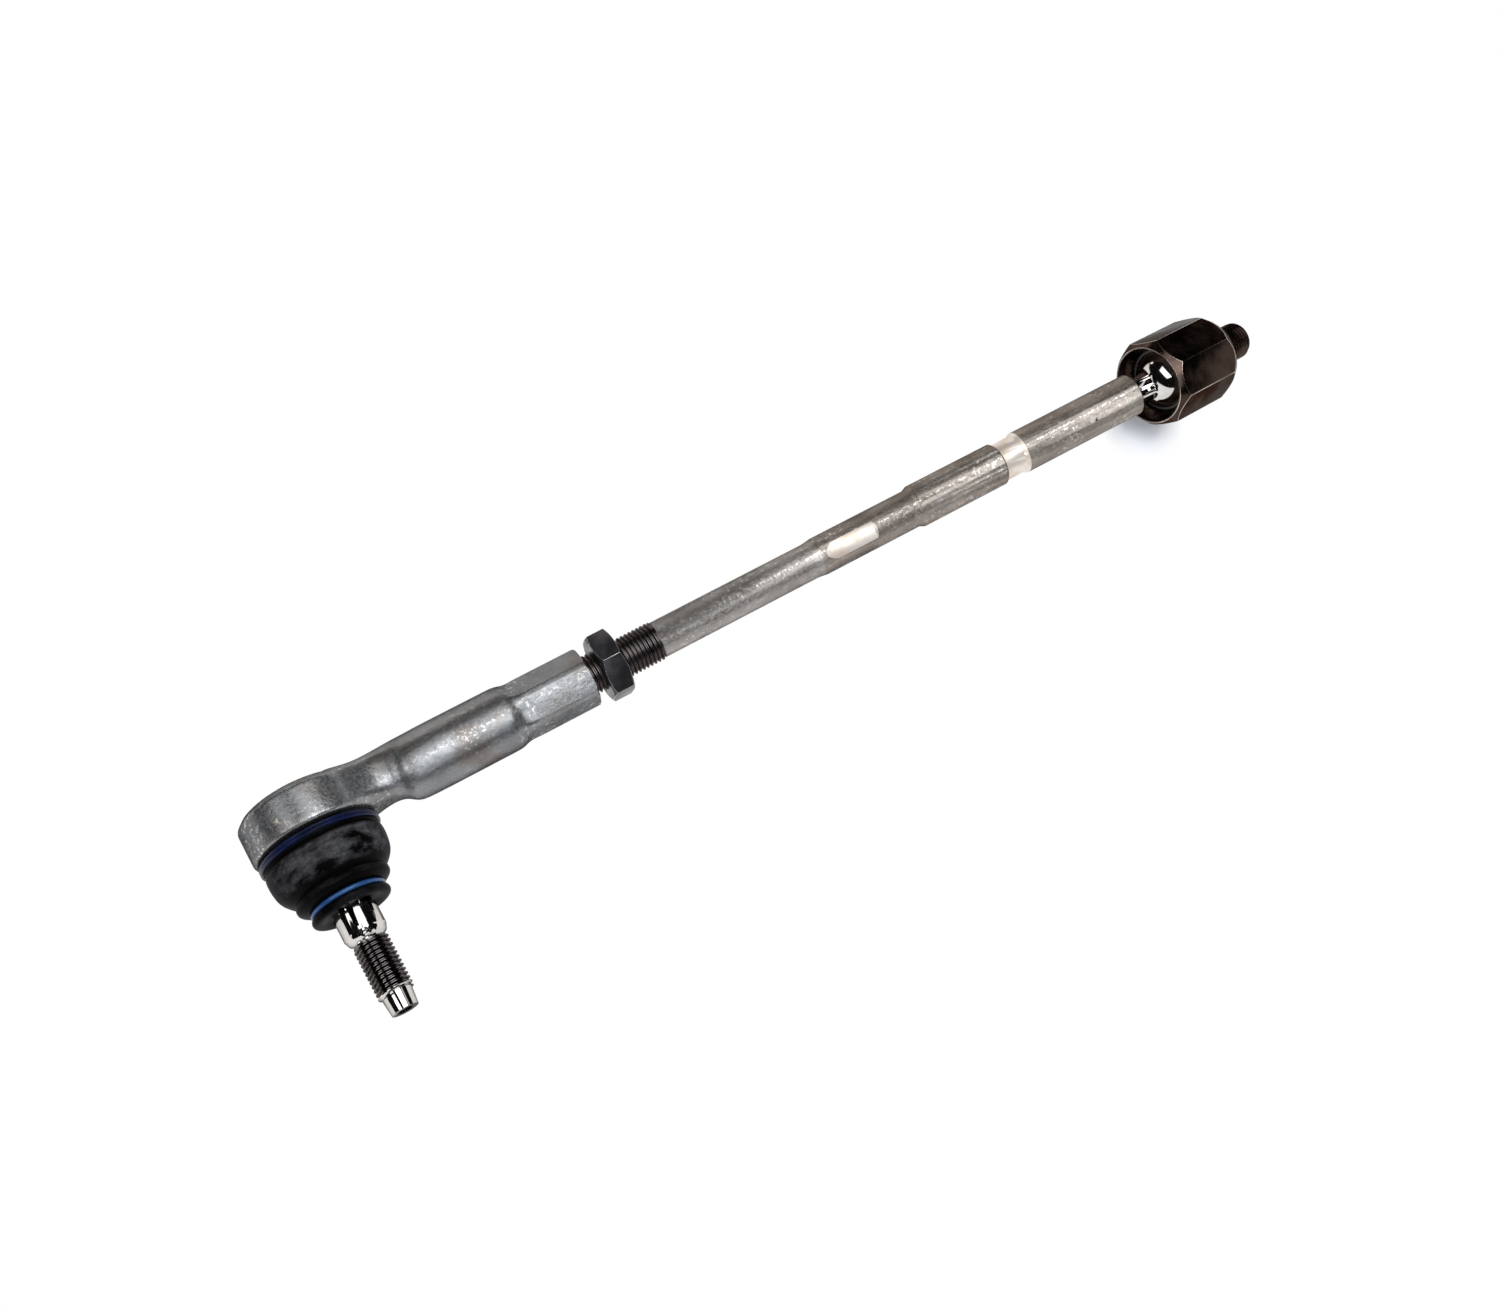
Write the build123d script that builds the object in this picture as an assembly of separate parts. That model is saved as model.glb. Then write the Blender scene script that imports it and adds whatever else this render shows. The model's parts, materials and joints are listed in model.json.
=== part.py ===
from build123d import *
import os
from math import asin, atan2, cos, degrees, radians, sin, sqrt

# A steering tie rod: a steel rod with a screwed-on ball joint at its outer end and an eight-sided axial ball joint
# at its inner end. Millimetres. It is modelled as it lies on a flat surface, with the origin on that surface under
# the middle of its box. The rod runs along +X, from the outer joint to the inner one.

# Clearances
RUN = 0.05            # radial clearance of every thread, pivot and turning fit
SOFT = 0.2            # room between the rubber boot and what turns beside it

# The rod, from its outer end inwards
THREAD_D = 14.0       # rod thread, M14 x 1.5
THREAD_ENGAGED = 42.0
NUT_GAP = 4.3         # from the sleeve's face to the locknut
NUT_HEIGHT = 8.0
NUT_FLATS = 22.0
NUT_TURN = -4.6       # where the locknut's corners stand
NUT_CHAMFER = 0.9     # of the corners, along the rod
NUT_FACE_CUT = 1.8    # and across it
THREAD_PAST_NUT = 14.7
THREAD_CHAMFER = 1.0
PLAIN_D = 13.0
PLAIN_LENGTH = 65.0
GRIP_D = 14.0         # swollen length with the six spanner flats
GRIP_LENGTH = 38.7
GRIP_LEAD = 4.0
FLATS_ACROSS = 12.5
FLATS_AT = 0.8        # from the grip's start to the flats
FLATS_LENGTH = 20.8
FLATS_RAMP = 3.4      # length of the sloping run-in of each flat
FLATS_RUNOUT = 0.8    # and of its other end
FLATS_TURN = 131.4    # where one of the spanner flats faces, from +Y about the rod
COLLAR_D = 15.8
COLLAR_LENGTH = 35.6
COLLAR_LEAD = 2.0
COLLAR_CHAMFER = 0.7
GROOVE_D = 14.1
GROOVE_LENGTH = 9.4
SHOULDER_D = 15.7
SHOULDER_LENGTH = 51.3
SHOULDER_LEAD = 1.5
SHOULDER_CHAMFER = 0.8
INNER_STANDOFF = 18.0  # from the shoulder's end to the centre of the inner ball
INNER_NECK_D = 11.0
INNER_BALL_D = 25.0

# The forged outer end
CUP_D = 42.4
CUP_FRONT = 7.0       # from the rod's axis to the cup's front rim
CUP_BACK = 5.6        # from the rod's axis to where the cup's back starts to round off
CUP_EDGE = 0.8
CUP_BULGE = 0.62      # how far along its slope the rounded back has its corner
BACK_RIM_D = 31.6     # flat ring on the cup's back, round the cover plate
BACK_DEPTH = 8.9      # from the rod's axis to that ring
COVER_D = 28.6
COVER_THICKNESS = 1.4
COVER_SINK = 0.3
SPIGOT_D = 34.0       # spigot in front of the cup, inside the boot
SPIGOT_HEIGHT = 5.0
BEAD_GROOVE_DEPTH = 1.0
BEAD_GROOVE_WIDTH = 3.0
BEAD_GROOVE_START = 0.8
LIP_OPENING_D = 22.0
LIP_FLARE = 0.8
# The forged neck's sections: from the cup's axis, width, depth along that axis, backset and corner radius
NECK = [
    (12.0, 32.0, 15.8, 1.0, 4.0),
    (17.0, 27.0, 16.0, 1.0, 4.5),
    (20.5, 22.8, 16.4, 1.2, 5.0),
    (24.0, 19.4, 16.8, 1.5, 5.4),
    (28.0, 17.5, 17.4, 1.7, 5.8),
    (33.0, 18.8, 19.4, 1.2, 7.6),
    (40.0, 22.3, 22.3, 0.1, 10.9),
    (46.0, 20.0, 20.0, 0.0, 9.8),
]
BARREL_D = 22.8
BARREL_START = 31.0
BARREL_NOSE = 5.6
BARREL_NOSE_CUT = 3.4  # the rounded nose's blunt end is this much smaller in radius
BARREL_NOSE_SIDE = 0.5  # and this much half way along it
NOSE_FRONT = 4.0      # the nose is blunt as far back as this, in front of the rod's axis
NOSE_SLOPE = 10.0     # and slopes away behind that over this length
BARREL_END = 73.0
SLEEVE_FLATS = 19.0
SLEEVE_CORNERS_D = 20.9
SLEEVE_END = 102.0
SLEEVE_TURN = 24.4    # where the sleeve's corners stand
SLEEVE_STEP = 1.6
SLEEVE_EDGE = 0.5
THREAD_RUNOUT = 8.0   # depth of the sleeve's bore past the rod's end

# The outer ball joint
OUTER_BALL_D = 22.0
SEAT_WALL = 2.1
SEAT_FLOOR = 1.0
OUTER_SWING = 25.0    # largest tilt of the stud, each way
STUD_NECK_D = 12.0
STUD_NECK_END = 17.0
STUD_LAND_START = 19.5
STUD_LAND_D = 13.0    # land that the boot's lip sits on
STUD_SHANK_D = 14.4
STUD_SHANK_BARE = 0.4  # from the boot's lip to the start of the shank
STUD_SHANK_END = 41.4
STUD_SHANK_ROUND = 2.0  # length of the shank's rounded end
STUD_SHANK_ROUND_D = 12.8
STUD_THREAD_D = 12.0
STUD_THREAD_ROOT = 44.5
STUD_THREAD_START = 45.4
STUD_THREAD_END = 63.3
STUD_TIP_ROOT_D = 10.2
STUD_TIP_D = 9.0
STUD_TIP_END = 69.3
STUD_SOCKET_FLATS = 5.0
STUD_SOCKET_DEPTH = 4.0

# The rubber boot, measured from the cup's front rim
BOOT_WALL = 1.8
BOOT_WALL_RISE = 0.9  # how much nearer the cup the wall's inner side is, where the dome ends
BOOT_WALL_MID_RISE = 0.6
BOOT_START = 0.5
BOOT_BEAD_D = 39.4
BOOT_D = 40.1
BOOT_BEAD_END = 4.4
BOOT_SHOULDER = 8.0
BOOT_DOME_MID = 13.0
BOOT_DOME_MID_D = 38.4
BOOT_DOME_END = 16.6
BOOT_DOME_END_D = 33.0
BOOT_PINCH = 17.3     # where the dome meets the fold
BOOT_PINCH_D = 31.0
BOOT_FOLD_START = 18.4
BOOT_FOLD_END = 20.0
BOOT_FOLD_D = 31.6
BOOT_STEP_D = 27.8    # at the end of the cone behind the fold
BOOT_NECK_D = 22.4
BOOT_NECK_START = 21.8
BOOT_NECK_END = 23.5
BOOT_LIP_D = 26.6
BOOT_LIP_END = 26.5
BOOT_LIP_CHAMFER = 1.6
RING_LARGE_D = 41.0
RING_LARGE_WIDTH = 2.2
RING_LARGE_AT = 2.4
RING_LARGE_ROUND = 0.27  # how far the flat wire's corners are rounded
RING_LARGE_SIDE = 0.4    # and how far its edges slope
RING_WIRE_D = 1.6

# The inner housing, measured from the centre of its ball
INNER_SEAT_WALL = 1.5
INNER_SEAT_FLOOR = 1.2
INNER_SWING = 22.0    # largest tilt of the rod in the housing, each way
INNER_SEAT_ROOM = 11.0  # the seat's mouth opens this much wider than the neck needs at full tilt
HOUSING_WALL = 1.55   # steel round the seat, at the middle of a flat
HOUSING_LIP = 0.7     # the housing's front stands this far in front of the ball
HOUSING_FLOOR = 7.0   # steel behind the seat
MOUTH_ROOM = 1.6      # the mouth is wider than the ball by this much each side
HOUSING_SIDES = 8
HOUSING_CORNER = 30.0  # where one of its corners stands, from +Y about its axis
HOUSING_RIM = 0.4     # width of the front face round the mouth
FACE_CUT = 1.0        # the round back face is smaller than the flats by this much each side
FRONT_CHAMFER = 3.4
BACK_CHAMFER = 4.2
HOUSING_THREAD_D = 14.0
HOUSING_THREAD_LENGTH = 20.0
HOUSING_UNDERCUT_D = 12.2
HOUSING_UNDERCUT = 2.4
HOUSING_PITCH = 13.5  # how far the housing leans down
HOUSING_YAW = 10.0    # how far it turns towards +Y
HOUSING_AHEAD = 17.03  # how far the rod and housing are turned about the rod, against the outer end

# The housing's sizes, which follow from its ball
HOUSING_FLATS = INNER_BALL_D + 2 * (RUN + INNER_SEAT_WALL + HOUSING_WALL)
HOUSING_FRONT = INNER_BALL_D / 2 + HOUSING_LIP
HOUSING_CAVITY_END = INNER_BALL_D / 2 + INNER_SEAT_FLOOR + 2 * RUN
HOUSING_BACK = HOUSING_CAVITY_END + HOUSING_FLOOR
HOUSING_FACE_D = HOUSING_FLATS - 2 * FACE_CUT
MOUTH_D = INNER_BALL_D + 2 * MOUTH_ROOM

# Stations along the rod, from the cup's axis
NUT_START = SLEEVE_END + NUT_GAP
ROD_END = SLEEVE_END - THREAD_ENGAGED
THREAD_STOP = NUT_START + NUT_HEIGHT + THREAD_PAST_NUT
GRIP_START = THREAD_STOP + PLAIN_LENGTH
GRIP_END = GRIP_START + GRIP_LENGTH
COLLAR_START = GRIP_END + COLLAR_LEAD
COLLAR_END = COLLAR_START + COLLAR_LENGTH
SHOULDER_START = COLLAR_END + GROOVE_LENGTH
SHOULDER_END = SHOULDER_START + SHOULDER_LENGTH
INNER_BALL_AT = SHOULDER_END + INNER_STANDOFF

# Where the outer ball sits, in front of the rod's axis, on its seat and the cover plate
LEDGE = BACK_DEPTH - COVER_SINK - COVER_THICKNESS
OUTER_BALL_AT = OUTER_BALL_D / 2 + RUN + SEAT_FLOOR - LEDGE

# Where the bare shank of the stud starts, past the boot's lip
STUD_SHANK_START = CUP_FRONT + BOOT_LIP_END + STUD_SHANK_BARE

# The boot's outer shape, as radius and distance from the rod's axis
BOOT_DOME = [
    (BOOT_D / 2, CUP_FRONT + BOOT_SHOULDER),
    (BOOT_DOME_MID_D / 2, CUP_FRONT + BOOT_DOME_MID),
    (BOOT_DOME_END_D / 2, CUP_FRONT + BOOT_DOME_END),
]

# The outer end lies on its cup's front rim and its boot, which sets how far its stud dips
RIM_AT = CUP_FRONT - CUP_EDGE
DOME_POINTS = [Spline(*BOOT_DOME) @ (step / 100) for step in range(101)]
STUD_DIP = min(degrees(atan2(CUP_D / 2 - p.X, p.Y - RIM_AT)) for p in DOME_POINTS)
ROLL = STUD_DIP - HOUSING_AHEAD


def on_x(at):
    """A frame on the rod's axis: its Z runs along +X, its X along +Y."""
    return Plane(origin=(at, 0, 0), x_dir=(0, 1, 0), z_dir=(1, 0, 0)).location


TOWARDS_STUD = Plane(origin=(0, 0, 0), x_dir=(1, 0, 0), z_dir=(0, -1, 0)).location


def turned(*lines):
    """A round solid about Z, from the closed outline of its half section: x is the radius, y the height."""
    edges = [edge for line in lines for edge in line.edges()]
    return revolve(Plane.XZ * make_face(edges), Axis.Z)


def hexagon(flats, height, turn=0.0):
    """A hexagonal bar that stands on the XY plane, with a corner at the angle turn."""
    return extrude(RegularPolygon(flats / 2, 6, major_radius=False, rotation=turn), height)


def ball_arc(radius, centre, start, end):
    """The arc of a ball's half section from the angle start to end, counted from the axis's lower end."""
    return CenterArc((0, centre), radius, start - 90, end - start)


def tie_rod_shaft():
    """The rod, forged and turned with its inner ball."""
    neck_r = INNER_NECK_D / 2
    ball_r = INNER_BALL_D / 2
    neck_meets_ball = INNER_BALL_AT - sqrt(ball_r**2 - neck_r**2)
    outline = Polyline(
        (0, INNER_BALL_AT + ball_r),
        (0, ROD_END),
        (THREAD_D / 2 - THREAD_CHAMFER, ROD_END),
        (THREAD_D / 2, ROD_END + THREAD_CHAMFER),
        (THREAD_D / 2, THREAD_STOP - (THREAD_D - PLAIN_D) / 2),
        (PLAIN_D / 2, THREAD_STOP),
        (PLAIN_D / 2, GRIP_START - GRIP_LEAD),
        (GRIP_D / 2, GRIP_START),
        (GRIP_D / 2, GRIP_END),
        (COLLAR_D / 2, COLLAR_START),
        (COLLAR_D / 2, COLLAR_END - COLLAR_CHAMFER),
        (COLLAR_D / 2 - COLLAR_CHAMFER, COLLAR_END),
        (GROOVE_D / 2, COLLAR_END),
        (GROOVE_D / 2, SHOULDER_START - SHOULDER_LEAD),
        (SHOULDER_D / 2, SHOULDER_START),
        (SHOULDER_D / 2, SHOULDER_END - SHOULDER_CHAMFER),
        (SHOULDER_D / 2 - SHOULDER_CHAMFER, SHOULDER_END),
        (neck_r, SHOULDER_END),
        (neck_r, neck_meets_ball),
    )
    start = degrees(asin(neck_r / ball_r))
    ball = ball_arc(ball_r, INNER_BALL_AT, start, 180)
    rod = on_x(0) * turned(outline, ball)
    flat_start = GRIP_START + FLATS_AT
    flat_end = flat_start + FLATS_LENGTH
    chip = Polyline(
        (flat_start, GRIP_D / 2),
        (flat_start + FLATS_RAMP, FLATS_ACROSS / 2),
        (flat_end - FLATS_RUNOUT, FLATS_ACROSS / 2),
        (flat_end, GRIP_D / 2),
        (flat_end, GRIP_D),
        (flat_start, GRIP_D),
        (flat_start, GRIP_D / 2),
    )
    cutter = extrude(make_face(chip.edges()), GRIP_D / 2, both=True)
    for side in range(0, 360, 60):
        rod -= Rotation(FLATS_TURN + side, 0, 0) * cutter
    return rod


def locknut():
    """The hexagonal locknut, chamfered on both faces."""
    corner_r = NUT_FLATS / sqrt(3)
    envelope = turned(
        Polyline(
            (0, 0),
            (corner_r - NUT_FACE_CUT, 0),
            (corner_r, NUT_CHAMFER),
            (corner_r, NUT_HEIGHT - NUT_CHAMFER),
            (corner_r - NUT_FACE_CUT, NUT_HEIGHT),
            (0, NUT_HEIGHT),
            (0, 0),
        )
    )
    bore = Cylinder(THREAD_D / 2 + RUN, NUT_HEIGHT, align=(Align.CENTER, Align.CENTER, Align.MIN))
    return on_x(NUT_START) * ((hexagon(NUT_FLATS, NUT_HEIGHT, NUT_TURN) & envelope) - bore)


def neck_section(at, width, depth, backset, corner):
    """One section of the forged neck, across the rod at the distance at from the cup's axis."""
    return on_x(at) * (Pos(backset, 0) * RectangleRounded(depth, width, corner))


def outer_end_body():
    """The outer forging: cup, neck, barrel and hexagonal sleeve, with the seat's cavity and the bore."""
    cup_r = CUP_D / 2
    spigot_r = SPIGOT_D / 2
    groove_at = CUP_FRONT + BEAD_GROOVE_START
    bulge_r = BACK_RIM_D / 2 + (cup_r - BACK_RIM_D / 2) * CUP_BULGE
    bulge_at = -CUP_BACK - (BACK_DEPTH - CUP_BACK) * CUP_BULGE
    cup = turned(
        Polyline(
            (0, -BACK_DEPTH),
            (BACK_RIM_D / 2, -BACK_DEPTH),
            (bulge_r, bulge_at),
            (cup_r, -CUP_BACK),
            (cup_r, CUP_FRONT - CUP_EDGE),
            (cup_r - CUP_EDGE, CUP_FRONT),
            (spigot_r, CUP_FRONT),
            (spigot_r, groove_at),
            (spigot_r - BEAD_GROOVE_DEPTH, groove_at),
            (spigot_r - BEAD_GROOVE_DEPTH, groove_at + BEAD_GROOVE_WIDTH),
            (spigot_r, groove_at + BEAD_GROOVE_WIDTH),
            (spigot_r, CUP_FRONT + SPIGOT_HEIGHT),
            (0, CUP_FRONT + SPIGOT_HEIGHT),
            (0, -BACK_DEPTH),
        )
    )
    seat_r = OUTER_BALL_D / 2 + SEAT_WALL + RUN
    cavity = turned(
        Polyline(
            (0, -BACK_DEPTH),
            (COVER_D / 2 + RUN, -BACK_DEPTH),
            (COVER_D / 2 + RUN, -LEDGE),
            (seat_r, -LEDGE),
            (seat_r, outer_seat_front() + RUN),
            (LIP_OPENING_D / 2, outer_seat_front() + RUN),
            (LIP_OPENING_D / 2 + LIP_FLARE, CUP_FRONT + SPIGOT_HEIGHT),
            (0, CUP_FRONT + SPIGOT_HEIGHT),
            (0, -BACK_DEPTH),
        )
    )
    neck = loft([neck_section(*section) for section in NECK])
    barrel_r = BARREL_D / 2
    sleeve_r = SLEEVE_CORNERS_D / 2
    barrel = on_x(0) * turned(
        Polyline(
            (0, BARREL_START),
            (barrel_r - BARREL_NOSE_CUT, BARREL_START),
            (barrel_r - BARREL_NOSE_SIDE, BARREL_START + BARREL_NOSE / 2),
            (barrel_r, BARREL_START + BARREL_NOSE),
            (barrel_r, BARREL_END),
            (sleeve_r, BARREL_END + SLEEVE_STEP),
            (0, BARREL_END + SLEEVE_STEP),
            (0, BARREL_START),
        )
    )
    slope = Polyline(
        (BARREL_START, -NOSE_FRONT),
        (BARREL_START + NOSE_SLOPE, barrel_r),
        (BARREL_START, barrel_r),
        (BARREL_START, -NOSE_FRONT),
    )
    barrel -= extrude(make_face(slope.edges()), BARREL_D, both=True)
    round_bar = turned(
        Polyline(
            (0, BARREL_END),
            (sleeve_r, BARREL_END),
            (sleeve_r, SLEEVE_END - SLEEVE_EDGE),
            (sleeve_r - SLEEVE_EDGE, SLEEVE_END),
            (0, SLEEVE_END),
            (0, BARREL_END),
        )
    )
    hexagonal_bar = Pos(0, 0, BARREL_END) * hexagon(SLEEVE_FLATS, SLEEVE_END - BARREL_END, SLEEVE_TURN)
    sleeve = on_x(0) * (round_bar & hexagonal_bar)
    bore_length = THREAD_ENGAGED + THREAD_RUNOUT
    bore = on_x(SLEEVE_END - bore_length) * Cylinder(
        THREAD_D / 2 + RUN, bore_length, align=(Align.CENTER, Align.CENTER, Align.MIN)
    )
    return (TOWARDS_STUD * cup + neck + barrel + sleeve) - TOWARDS_STUD * cavity - bore


def outer_seat_front():
    """Where the outer seat's front face lies, so that the stud's neck clears it at full tilt."""
    edge_angle = asin(STUD_NECK_D / OUTER_BALL_D) + radians(OUTER_SWING)
    return OUTER_BALL_AT + OUTER_BALL_D / 2 * cos(edge_angle)


def outer_ball_seat():
    """The plastic seat round the outer ball, closed at its back."""
    ball_r = OUTER_BALL_D / 2 + RUN
    front = outer_seat_front()
    edge = degrees(asin(sqrt(ball_r**2 - (front - OUTER_BALL_AT) ** 2) / ball_r))
    mouth_r = ball_r * sin(radians(edge))
    outline = Polyline(
        (mouth_r, front),
        (OUTER_BALL_D / 2 + SEAT_WALL, front),
        (OUTER_BALL_D / 2 + SEAT_WALL, -LEDGE),
        (0, -LEDGE),
        (0, OUTER_BALL_AT - ball_r),
    )
    return TOWARDS_STUD * turned(outline, ball_arc(ball_r, OUTER_BALL_AT, 0, 180 - edge))


def outer_cover_plate():
    """The steel plate that closes the cup's back."""
    plate = Cylinder(COVER_D / 2, COVER_THICKNESS, align=(Align.CENTER, Align.CENTER, Align.MAX))
    return TOWARDS_STUD * (Pos(0, 0, -LEDGE) * plate)


def ball_stud():
    """The stud with its ball, shank, thread and the socket in its tip."""
    ball_r = OUTER_BALL_D / 2
    neck_r = STUD_NECK_D / 2
    outline = Polyline(
        (neck_r, OUTER_BALL_AT + sqrt(ball_r**2 - neck_r**2)),
        (neck_r, STUD_NECK_END),
        (STUD_LAND_D / 2, STUD_LAND_START),
        (STUD_LAND_D / 2, STUD_SHANK_START),
        (STUD_SHANK_D / 2, STUD_SHANK_START),
        (STUD_SHANK_D / 2, STUD_SHANK_END),
        (STUD_SHANK_ROUND_D / 2, STUD_SHANK_END + STUD_SHANK_ROUND),
        (STUD_TIP_ROOT_D / 2, STUD_THREAD_ROOT),
        (STUD_THREAD_D / 2, STUD_THREAD_START),
        (STUD_THREAD_D / 2, STUD_THREAD_END),
        (STUD_TIP_ROOT_D / 2, STUD_THREAD_END),
        (STUD_TIP_D / 2, STUD_TIP_END),
        (0, STUD_TIP_END),
        (0, OUTER_BALL_AT - ball_r),
    )
    stud = turned(outline, ball_arc(ball_r, OUTER_BALL_AT, 0, 180 - degrees(asin(neck_r / ball_r))))
    socket = Pos(0, 0, STUD_TIP_END - STUD_SOCKET_DEPTH) * hexagon(STUD_SOCKET_FLATS, STUD_SOCKET_DEPTH)
    return TOWARDS_STUD * (stud - socket)


def dust_boot():
    """The rubber boot: a bead in the cup's groove, a dome, a fold, the small ring's neck and the sealing lip."""
    bead_r = SPIGOT_D / 2 - BEAD_GROOVE_DEPTH + SOFT
    groove_at = CUP_FRONT + BEAD_GROOVE_START
    start = CUP_FRONT + BOOT_START
    bead_end = CUP_FRONT + BOOT_BEAD_END
    fold_start = CUP_FRONT + BOOT_FOLD_START
    fold_end = CUP_FRONT + BOOT_FOLD_END
    neck_start = CUP_FRONT + BOOT_NECK_START
    neck_end = CUP_FRONT + BOOT_NECK_END
    lip_end = CUP_FRONT + BOOT_LIP_END
    stud_r = STUD_LAND_D / 2 + RUN
    outside = Polyline(
        (BOOT_BEAD_D / 2, start),
        (BOOT_BEAD_D / 2, bead_end),
        (BOOT_D / 2, bead_end + (BOOT_D - BOOT_BEAD_D) / 2),
        BOOT_DOME[0],
    )
    dome = Spline(*BOOT_DOME)
    front = Polyline(
        BOOT_DOME[-1],
        (BOOT_PINCH_D / 2, CUP_FRONT + BOOT_PINCH),
        (BOOT_FOLD_D / 2, fold_start),
        (BOOT_FOLD_D / 2, fold_end),
        (BOOT_STEP_D / 2, neck_start),
        (BOOT_NECK_D / 2, neck_start),
        (BOOT_NECK_D / 2, neck_end),
        (BOOT_LIP_D / 2, neck_end),
        (BOOT_LIP_D / 2, lip_end - BOOT_LIP_CHAMFER),
        (BOOT_LIP_D / 2 - BOOT_LIP_CHAMFER, lip_end),
        (stud_r, lip_end),
        (stud_r, neck_start),
        (BOOT_FOLD_D / 2 - 2 * BOOT_WALL, fold_end - BOOT_WALL),
        (BOOT_DOME_END_D / 2 - BOOT_WALL, BOOT_DOME[-1][1] - BOOT_WALL_RISE),
    )
    inner_dome = Spline(
        (BOOT_DOME_END_D / 2 - BOOT_WALL, BOOT_DOME[-1][1] - BOOT_WALL_RISE),
        (BOOT_DOME_MID_D / 2 - BOOT_WALL, BOOT_DOME[1][1] - BOOT_WALL_MID_RISE),
        (BOOT_D / 2 - BOOT_WALL, BOOT_DOME[0][1]),
    )
    inside = Polyline(
        (BOOT_D / 2 - BOOT_WALL, BOOT_DOME[0][1]),
        (BOOT_D / 2 - BOOT_WALL, CUP_FRONT + SPIGOT_HEIGHT + SOFT),
        (SPIGOT_D / 2 + SOFT, groove_at + BEAD_GROOVE_WIDTH - SOFT),
        (bead_r, groove_at + BEAD_GROOVE_WIDTH - SOFT),
        (bead_r, groove_at + SOFT),
        (SPIGOT_D / 2 + SOFT, groove_at + SOFT),
        (SPIGOT_D / 2 + SOFT, start),
        (BOOT_BEAD_D / 2, start),
    )
    return TOWARDS_STUD * turned(outside, dome, front, inner_dome, inside)


def boot_ring_large():
    """The large ring: two turns of flat wire round the boot's bead."""
    half = RING_LARGE_WIDTH / 2
    outer_r = RING_LARGE_D / 2
    inner_r = BOOT_BEAD_D / 2
    middle = CUP_FRONT + RING_LARGE_AT
    ring = turned(
        Polyline(
            (inner_r, middle - half),
            (outer_r - RING_LARGE_ROUND, middle - half),
            (outer_r, middle - half + RING_LARGE_SIDE),
            (outer_r, middle - RING_LARGE_ROUND),
            (outer_r - RING_LARGE_ROUND, middle),
            (outer_r, middle + RING_LARGE_ROUND),
            (outer_r, middle + half - RING_LARGE_SIDE),
            (outer_r - RING_LARGE_ROUND, middle + half),
            (inner_r, middle + half),
            (inner_r, middle - half),
        )
    )
    return TOWARDS_STUD * ring


def boot_ring_small():
    """The small ring: one turn of round wire in the boot's neck."""
    middle = CUP_FRONT + (BOOT_NECK_START + BOOT_NECK_END) / 2
    ring_r = BOOT_NECK_D / 2 + RING_WIRE_D / 2 + RUN
    return TOWARDS_STUD * (Pos(0, 0, middle) * Torus(ring_r, RING_WIRE_D / 2))


def inner_seat_edge():
    """Half the angle of the inner seat's mouth, so that the rod's neck clears it at full tilt."""
    return degrees(asin(INNER_NECK_D / INNER_BALL_D)) + INNER_SWING + INNER_SEAT_ROOM


def inner_housing():
    """The many-sided housing of the inner joint, with its threaded stud, before it is set at its angle."""
    corner_r = HOUSING_FLATS / 2 / cos(radians(180 / HOUSING_SIDES))
    face_r = HOUSING_FACE_D / 2
    envelope = turned(
        Polyline(
            (0, -HOUSING_FRONT),
            (MOUTH_D / 2 + HOUSING_RIM, -HOUSING_FRONT),
            (corner_r, FRONT_CHAMFER - HOUSING_FRONT),
            (corner_r, HOUSING_BACK - BACK_CHAMFER),
            (face_r, HOUSING_BACK),
            (0, HOUSING_BACK),
            (0, -HOUSING_FRONT),
        )
    )
    outline = RegularPolygon(HOUSING_FLATS / 2, HOUSING_SIDES, major_radius=False, rotation=HOUSING_CORNER)
    bar = Pos(0, 0, -HOUSING_FRONT) * extrude(outline, HOUSING_FRONT + HOUSING_BACK)
    thread_r = HOUSING_THREAD_D / 2
    stud = turned(
        Polyline(
            (0, HOUSING_BACK - BACK_CHAMFER),
            (HOUSING_UNDERCUT_D / 2, HOUSING_BACK - BACK_CHAMFER),
            (HOUSING_UNDERCUT_D / 2, HOUSING_BACK + HOUSING_UNDERCUT),
            (thread_r, HOUSING_BACK + HOUSING_UNDERCUT + (HOUSING_THREAD_D - HOUSING_UNDERCUT_D) / 2),
            (thread_r, HOUSING_BACK + HOUSING_THREAD_LENGTH - THREAD_CHAMFER),
            (thread_r - THREAD_CHAMFER, HOUSING_BACK + HOUSING_THREAD_LENGTH),
            (0, HOUSING_BACK + HOUSING_THREAD_LENGTH),
            (0, HOUSING_BACK - BACK_CHAMFER),
        )
    )
    seat_r = INNER_BALL_D / 2 + INNER_SEAT_WALL + RUN
    seat_front = INNER_BALL_D / 2 * cos(radians(inner_seat_edge()))
    throat_r = INNER_BALL_D / 2 * sin(radians(inner_seat_edge())) + INNER_SEAT_WALL / 2
    cavity = turned(
        Polyline(
            (0, -HOUSING_FRONT),
            (MOUTH_D / 2, -HOUSING_FRONT),
            (throat_r, -seat_front - RUN),
            (seat_r, -seat_front - RUN),
            (seat_r, HOUSING_CAVITY_END),
            (0, HOUSING_CAVITY_END),
            (0, -HOUSING_FRONT),
        )
    )
    return on_x(0) * ((bar & envelope) + stud - cavity)


def inner_ball_seat():
    """The plastic seat round the rod's ball, before it is set at the housing's angle."""
    ball_r = INNER_BALL_D / 2 + RUN
    front = INNER_BALL_D / 2 * cos(radians(inner_seat_edge()))
    edge = degrees(asin(sqrt(ball_r**2 - front**2) / ball_r))
    outer_r = INNER_BALL_D / 2 + INNER_SEAT_WALL
    outline = Polyline(
        (0, ball_r),
        (0, ball_r + INNER_SEAT_FLOOR),
        (outer_r, ball_r + INNER_SEAT_FLOOR),
        (outer_r, -front),
        (sqrt(ball_r**2 - front**2), -front),
    )
    return on_x(0) * turned(outline, ball_arc(ball_r, 0, edge, 180))


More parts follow.
